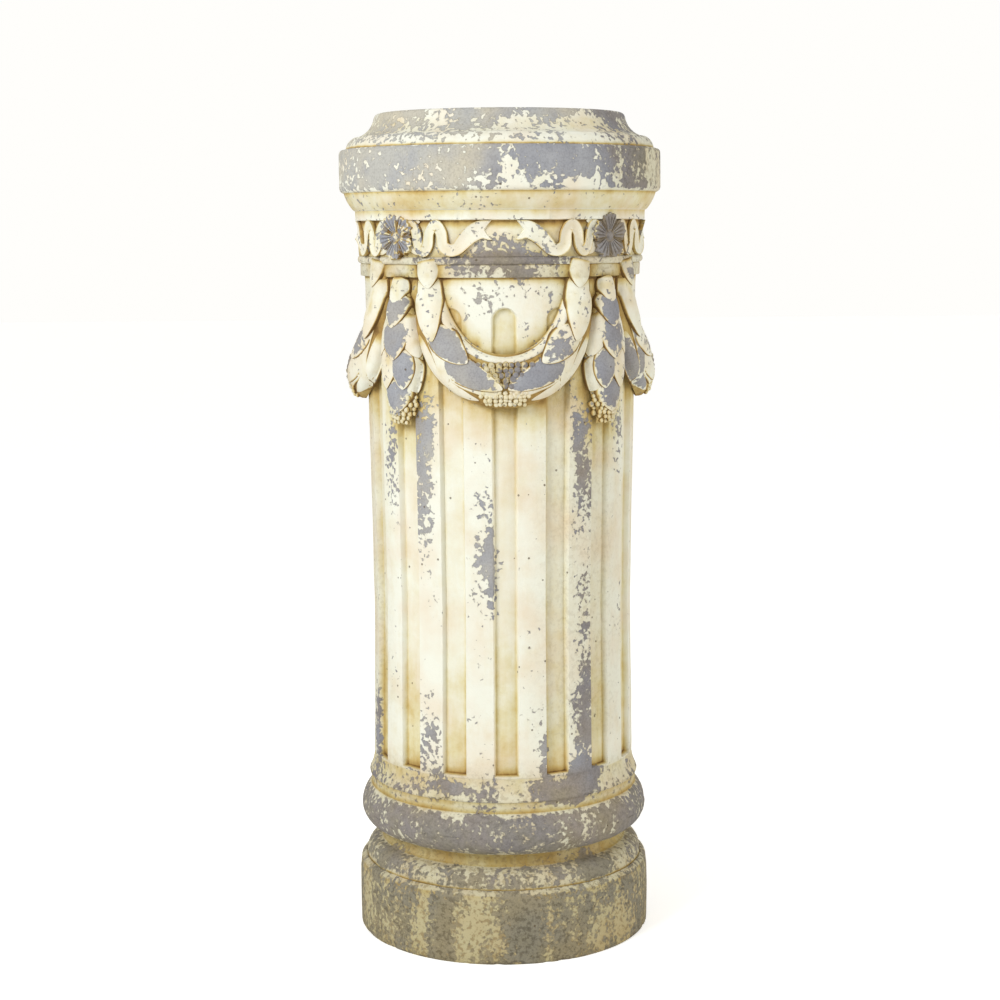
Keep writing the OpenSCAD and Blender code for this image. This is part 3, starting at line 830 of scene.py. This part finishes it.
def rosette(g):
    """flower of five petals as a round grid, q from 0 at its middle to 1 at its rim, and four small leaves. The
    rim is drawn in between the petals and a little uneven; the face dishes up toward it, each petal laps over
    the next, fine grooves run out along them, and a button stands in the middle. The last two rings drop into
    the ground and close behind it"""
    turn = 45 + g * 90
    phi = np.radians(np.linspace(0, 360, 180, endpoint=False))
    wave = phi - math.radians(90 + 8 * g)
    petal = np.abs(np.cos(2.5 * wave))
    lap = (wave * 2.5 / math.pi + 0.5) % 1 - 0.5
    ragged = 1 + 0.035 * np.sin(17 * wave + g) + 0.03 * np.sin(31 * wave)
    q = np.r_[np.linspace(0, 1, 22), 1.015, 0][:, None]
    rho = q * ROSETTE_R * (0.80 + 0.20 * petal ** 0.45) * ragged
    x, z = rho * np.cos(phi), Z_FRIEZE + 19 + rho * np.sin(phi)
    groove = step(.1, .95, np.cos(wave * 25)) * step(.2, .45, q) * step(1.0, .85, q)
    h = 3.0 + 4.4 * q ** 1.1 * (0.35 + 0.65 * petal ** 0.6) + 1.8 * lap * q - 1.2 * step(.86, 1, q) - 1.4 * groove
    h = np.maximum(h, 6.6 * np.sqrt(np.clip(1 - (rho / BUTTON_R) ** 2, 0, 1)))
    h[-2:] = -1
    # darker between the petals, at the rim, round the button and in the grooves: painted shade in these hollows,
    # with soil
    soil_and_shade = 0.10 + 0.85 * (1 - petal) ** 1.5 * step(.2, .5, q) + 0.4 * step(.97, 1, q)
    soil_and_shade = soil_and_shade + 0.6 * hump(rho, BUTTON_R + 0.6, 1.3) + 0.55 * groove
    bare, old = (0.95, 0.48) if g == 0 else (0.62, 0.34)
    shares = weather(bare - 0.25 * step(.9, 1, q), soil_and_shade, old)
    shapes = [patch(on_column(x, z, FRIEZE_H + h, turn), shares, closed=True)]
    for e in (-1, 1):
        low = curved((e * 15, Z_FRIEZE + 13), (e * 32, Z_FRIEZE + 4), -2 * e)
        high = curved((e * 16, Z_FRIEZE + 28), (e * 27, Z_FRIEZE + 33), 2 * e)
        shapes.append(leaf(frieze_ground, turn, low, 11, (1.0, 1.6), 1.6, .15))
        shapes.append(leaf(frieze_ground, turn, high, 9, (0.8, 1.4), 1.4, .2))
    return shapes


def ribbon(g, e):
    """ribbon waving in hairpins from a rosette to a swallow tail, on the side e of garland g. Its band is carried
    along a smooth line, cupped by 1.8 v squared and rocked from side to side; the tail widens, and its two
    corners run on past a notch"""
    line = spline([(a * DEGREE_MM, Z_FRIEZE + up) for a, up in RIBBON_LINE], 110) * (e, 1)
    t = np.linspace(0, 1, len(line))
    v = np.r_[-1.02, np.linspace(-1, 1, 11), 1.02]
    fold = np.abs(v) > 1
    x, z = spread(line, np.interp(t, *zip(*RIBBON_HALF)), v)
    along, _ = left_of(line)
    t = t[:, None]
    ahead = 7 * np.abs(v) ** 1.2 * step(.90, 1, t)
    x, z = x + along[:, :1] * ahead, z + along[:, 1:] * ahead
    h = 2.1 + 1.8 * v ** 2 + 0.9 * np.sin(t * 22) * v - 0.6 * np.cos(t * 30) * (1 - np.abs(v))
    h = np.where(fold, -1, h)
    h[0] = h[-1] = -1
    p = on_column(x, np.clip(z, Z_FRIEZE - 3, Z_STRIP + 1.5), FRIEZE_H + h, g * 90)
    # darker along the edges, on the sides that drop into the ground and down the cupped middle of its first part:
    # painted shade in these hollows, with soil
    soil_and_shade = 0.06 + 0.5 * step(.86, 1, np.abs(v)) + 0.5 * fold + 0.2 * (1 - np.abs(v)) * (t < .7)
    return patch(p, weather(0.16 + 0.1 * np.sin(t * 9), soil_and_shade, 0.3))


# ------------------------------------------------------------------ finish

# clouds of noise in the finish: size in mm, detail, roughness, distortion
CLOUDS = {
    "islands": (26, 2, .5, 0),           # where the paint has flaked
    "flakes": (4.9, 1.8, .5, .3),
    "crumbs": (3.2, 2, .6, 0),
    "soil_and_shade": (16, 5, .65, 0),             # paint
    "haze": (70, 2, .5, 0),
    "blush": (48, 3, .5, 0),
    "specks": (4.2, 2, .6, 0),
    "tone": (30, 4, .55, 0),             # bare cast
    "sand": (1.9, 2, .6, 0),
    "tint": (80, 2, .5, 0),
    "grit": (5, 4, .7, 0),
    "grain": (1.6, 2, .6, 0),            # relief
    "waves": (12, 3, .5, 0),
}
# the same, drawn out upright to six times their width
DRAWN = {"runs": (16, 2, .5, 0), "brush": (9, 3, .55, 0)}
PIT_CELL = 13                            # mm; a pit is 2 mm across and lies in one cell of three


def painted_cast():
    """fine cast concrete under limewash cream, flaked off in patches. The paint is chalky and warm, yellowed
    where soil has settled in hollows and darkened there as painted shade; the bare cast is a matt blue to brown
    grey; both carry small pits, darkened as painted shade with dirt.
    The mesh's weather attribute gives bareness, soil with painted shade, and age, and noise breaks their edges into
    flakes"""
    material = bpy.data.materials.new("limewashed_cast_concrete")
    material.use_nodes = True
    tree = material.node_tree
    tree.nodes.clear()
    place = add(tree, "TexCoord").outputs["Object"]
    drawn = add(tree, "Mapping", Vector=place, Scale=(1, 1, .16)).outputs["Vector"]
    cloud = {}
    for where, table in ((place, CLOUDS), (drawn, DRAWN)):
        for name, (size, detail, rough, warp) in table.items():
            cloud[name] = add(tree, "TexNoise", Vector=where, Scale=1000 / size, Detail=detail, Roughness=rough,
                              Distortion=warp).outputs["Fac"]
    shares = add(tree, "Attribute", attribute_name="weather").outputs["Color"]
    bare, soil_and_shade, old = add(tree, "SeparateColor", Color=shares).outputs[:3]
    # past an age of 0.35 the paint goes ochre and the cast gritty
    ancient = add(tree, "MapRange", Value=old, From_Min=.35, From_Max=.9).outputs[0]

    # edge, below 0 on paint and above 0 on bare cast: bareness, islands broken by flakes and, where it is old, by
    # crumbs, and runs down old faces. The paint's edge is crisp where new and soft where old
    flakes = add(tree, "Math", cloud["islands"], .32, operation="MULTIPLY").outputs[0]
    flakes = add(tree, "Math", cloud["flakes"], .68, flakes, operation="MULTIPLY_ADD").outputs[0]
    crumbs = add(tree, "Math", cloud["crumbs"], flakes, operation="SUBTRACT").outputs[0]
    crumbled = add(tree, "Math", old, .34, operation="MULTIPLY").outputs[0]
    flakes = add(tree, "Math", crumbs, crumbled, flakes, operation="MULTIPLY_ADD").outputs[0]
    edge = add(tree, "Math", flakes, 3.0, bare, operation="MULTIPLY_ADD").outputs[0]
    edge = add(tree, "Math", edge, 2.0, operation="SUBTRACT").outputs[0]
    runs = add(tree, "Math", cloud["runs"], .5, operation="SUBTRACT").outputs[0]
    run_share = add(tree, "Math", old, 1.6, operation="MULTIPLY").outputs[0]
    edge = add(tree, "Math", runs, run_share, edge, operation="MULTIPLY_ADD").outputs[0]
    crisp = add(tree, "Math", old, -6.8, 10.0, operation="MULTIPLY_ADD").outputs[0]
    mask = add(tree, "Math", edge, crisp, .5, operation="MULTIPLY_ADD", use_clamp=True).outputs[0]

    # soil with painted shade, mottled, brushed upright and hazed; 0.705 takes the mean of the three clouds away
    # again
    soil_and_shade_mottled = add(tree, "Math", cloud["soil_and_shade"], .55, soil_and_shade, operation="MULTIPLY_ADD").outputs[0]
    soil_and_shade_mottled = add(tree, "Math", cloud["brush"], .36, soil_and_shade_mottled, operation="MULTIPLY_ADD").outputs[0]
    soil_and_shade_mottled = add(tree, "Math", cloud["haze"], .50, soil_and_shade_mottled, operation="MULTIPLY_ADD").outputs[0]
    soil_and_shade_mottled = add(tree, "Math", soil_and_shade_mottled, .705, operation="SUBTRACT", use_clamp=True).outputs[0]

    # paint: cream, going ochre and then brown with soil and painted shade, warmer in places, and where it is ancient
    # ochre all over with brown specks
    paint = add(tree, "ValToRGB", soil_and_shade_mottled, stops=[(0, "#E6E7DB"), (.25, "#E0DDC8"), (.45, "#D6CDA4"),
                                                 (.64, "#C7B376"), (.82, "#AC9053"), (1, "#73592F")]).outputs[0]
    blush = add(tree, "ValToRGB", cloud["blush"], stops=[(.42, "#FFFFFF"), (.70, "#FAEFE6")]).outputs[0]
    ochre = add(tree, "Math", ancient, .8, operation="MULTIPLY").outputs[0]
    specks = add(tree, "MapRange", Value=cloud["specks"], From_Min=.50, From_Max=.62).outputs[0]
    specks = add(tree, "Math", specks, ancient, operation="MULTIPLY").outputs[0]
    specks = add(tree, "Math", specks, .65, operation="MULTIPLY").outputs[0]
    for kind, share, layer in (("MULTIPLY", 1.0, blush), ("MULTIPLY", ochre, linear("#BCAD7B")),
                               ("MIX", specks, linear("#84704A"))):
        paint = add(tree, "Mix", share, data_type="RGBA", blend_type=kind, i6=paint, i7=layer).outputs[2]

    # bare cast: pale blue grey to dark brown grey with age, sandy, tinted, gritty where ancient, yellow with soil
    # and painted shade
    tone = add(tree, "Math", cloud["tone"], .6, old, operation="MULTIPLY_ADD").outputs[0]
    tone = add(tree, "Math", tone, .3, operation="SUBTRACT", use_clamp=True).outputs[0]
    cast = add(tree, "ValToRGB", tone, stops=[(0, "#C2BFB4"), (.16, "#ADADAE"), (.34, "#9C9CA0"),
                                              (.55, "#918B88"), (.78, "#958E7B"), (1, "#908870")]).outputs[0]
    sand = add(tree, "ValToRGB", cloud["sand"], stops=[(.36, "#8F8A84"), (.55, "#FFFFFF")]).outputs[0]
    tint = add(tree, "ValToRGB", cloud["tint"], stops=[(.40, "#FFFBF2"), (.60, "#EDF0F7")]).outputs[0]
    grit = add(tree, "ValToRGB", cloud["grit"], stops=[(.40, "#857E78"), (.52, "#FFFFFF")]).outputs[0]
    gritty = add(tree, "Math", ancient, .55, operation="MULTIPLY").outputs[0]
    yellow = add(tree, "Math", soil_and_shade_mottled, .35, operation="SUBTRACT", use_clamp=True).outputs[0]
    yellow = add(tree, "Math", yellow, .8, operation="MULTIPLY").outputs[0]
    for kind, share, layer in (("MULTIPLY", .22, sand), ("MULTIPLY", 1.0, tint), ("MULTIPLY", gritty, grit),
                               ("MIX", yellow, linear("#8A7440"))):
        cast = add(tree, "Mix", share, data_type="RGBA", blend_type=kind, i6=cast, i7=layer).outputs[2]

    cells = add(tree, "TexVoronoi", Vector=place, Scale=1000 / PIT_CELL).outputs
    chance = add(tree, "SeparateColor", Color=cells["Color"]).outputs["Red"]
    chosen = add(tree, "Math", chance, .66, operation="GREATER_THAN").outputs[0]
    pits = add(tree, "Math", cells["Distance"], .085, operation="LESS_THAN").outputs[0]
    pits = add(tree, "Math", pits, chosen, operation="MULTIPLY").outputs[0]

    # paint and cast together, with a painted shade line along the paint's edge, and painted shade with dirt in the
    # pits
    rim = add(tree, "Math", edge, 9, operation="MULTIPLY").outputs[0]
    rim = add(tree, "Math", rim, operation="ABSOLUTE").outputs[0]
    rim = add(tree, "Math", 1.0, rim, operation="SUBTRACT", use_clamp=True).outputs[0]
    rim = add(tree, "Math", rim, .28, operation="MULTIPLY").outputs[0]
    dark_pits = add(tree, "Math", pits, .75, operation="MULTIPLY").outputs[0]
    colour = paint
    for share, layer in ((mask, cast), (rim, linear("#6E6250")), (dark_pits, linear("#5A4B36"))):
        colour = add(tree, "Mix", share, data_type="RGBA", i6=colour, i7=layer).outputs[2]

    # relief: a sandy grain, stronger where old, casting waves, the paint's own 0.5 mm, and pits
    grain = add(tree, "Math", old, .35, .20, operation="MULTIPLY_ADD").outputs[0]
    relief = add(tree, "Math", cloud["waves"], .55, operation="MULTIPLY").outputs[0]
    relief = add(tree, "Math", cloud["grain"], grain, relief, operation="MULTIPLY_ADD").outputs[0]
    relief = add(tree, "Math", mask, -.42, relief, operation="MULTIPLY_ADD").outputs[0]
    relief = add(tree, "Math", pits, -.6, relief, operation="MULTIPLY_ADD").outputs[0]
    bump = add(tree, "Bump", Strength=1.0, Distance=.0012, Height=relief).outputs["Normal"]
    rough = add(tree, "Math", mask, .12, .72, operation="MULTIPLY_ADD").outputs[0]
    shader = add(tree, "BsdfPrincipled", Base_Color=colour, Roughness=rough, Normal=bump, IOR=1.5,
                 Specular_IOR_Level=0.3)
    add(tree, "OutputMaterial", Surface=shader.outputs["BSDF"])
    return material


# ------------------------------------------------------------------ floor and room

FLOOR_HALF = 14.0                # metres
FLOOR_LIFT = 0.5                 # extra light on the floor that only the camera sees
ROOM_LIGHT = 0.54                # strength of the light from all round; it is 1 to the camera and in reflections


def pale_floor():
    """plain pale floor, white to the camera where the light falls, keeping the column's shadow"""
    material = bpy.data.materials.new("pale_floor")
    material.use_nodes = True
    tree = material.node_tree
    tree.nodes.clear()
    seen = add(tree, "LightPath").outputs["Is Camera Ray"]
    lift = add(tree, "Math", seen, FLOOR_LIFT, operation="MULTIPLY").outputs[0]
    shader = add(tree, "BsdfPrincipled", Base_Color=linear("#F6F5F2"), Roughness=0.9, Specular_IOR_Level=0.1,
                 Emission_Color=linear("#FFFFFF"), Emission_Strength=lift)
    add(tree, "OutputMaterial", Surface=shader.outputs["BSDF"])
    s = FLOOR_HALF
    mesh = bpy.data.meshes.new("floor")
    mesh.from_pydata([(-s, -s, 0), (s, -s, 0), (s, s, 0), (-s, s, 0)], [], [(0, 1, 2, 3)])
    mesh.materials.append(material)
    floor = bpy.data.objects.new("floor", mesh)
    bpy.context.scene.collection.objects.link(floor)


def light_room():
    """plain soft light from all round, white to the camera, with a large lamp at the front left and a warmer one
    at the right"""
    world = bpy.data.worlds.new("room")
    bpy.context.scene.world = world
    world.use_nodes = True
    tree = world.node_tree
    tree.nodes.clear()
    path = add(tree, "LightPath").outputs
    seen = add(tree, "Math", path["Is Camera Ray"], path["Is Glossy Ray"], operation="MAXIMUM").outputs[0]
    power = add(tree, "MapRange", Value=seen, To_Min=ROOM_LIGHT, To_Max=1.0).outputs[0]
    back = add(tree, "Background", Color=linear("#FFFEFB"), Strength=power)
    add(tree, "OutputWorld", Surface=back.outputs[0])
    put_lamp("window", (-1.7, -1.9, 1.8), 50, 1.1, (1, 1, 0.985))
    put_lamp("fill", (2.3, -1.0, 1.0), 20, 1.4, (1, 0.95, 0.85))


put_camera()
light_room()
pale_floor()
finish = painted_cast()
body = piece("body", [body_patch()], finish)
leaves, fruit, carving = [], [], []
for quarter in range(4):
    for shapes, heaps in (garland(quarter), drop(quarter)):
        leaves += shapes
        fruit += heaps
    carving += rosette(quarter) + [ribbon(quarter, -1), ribbon(quarter, 1)]
piece("garlands", leaves, finish)
piece("berries", fruit, finish)
piece("frieze_ornament", carving, finish)
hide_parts("column")

bpy.context.scene.view_settings.view_transform = "Standard"
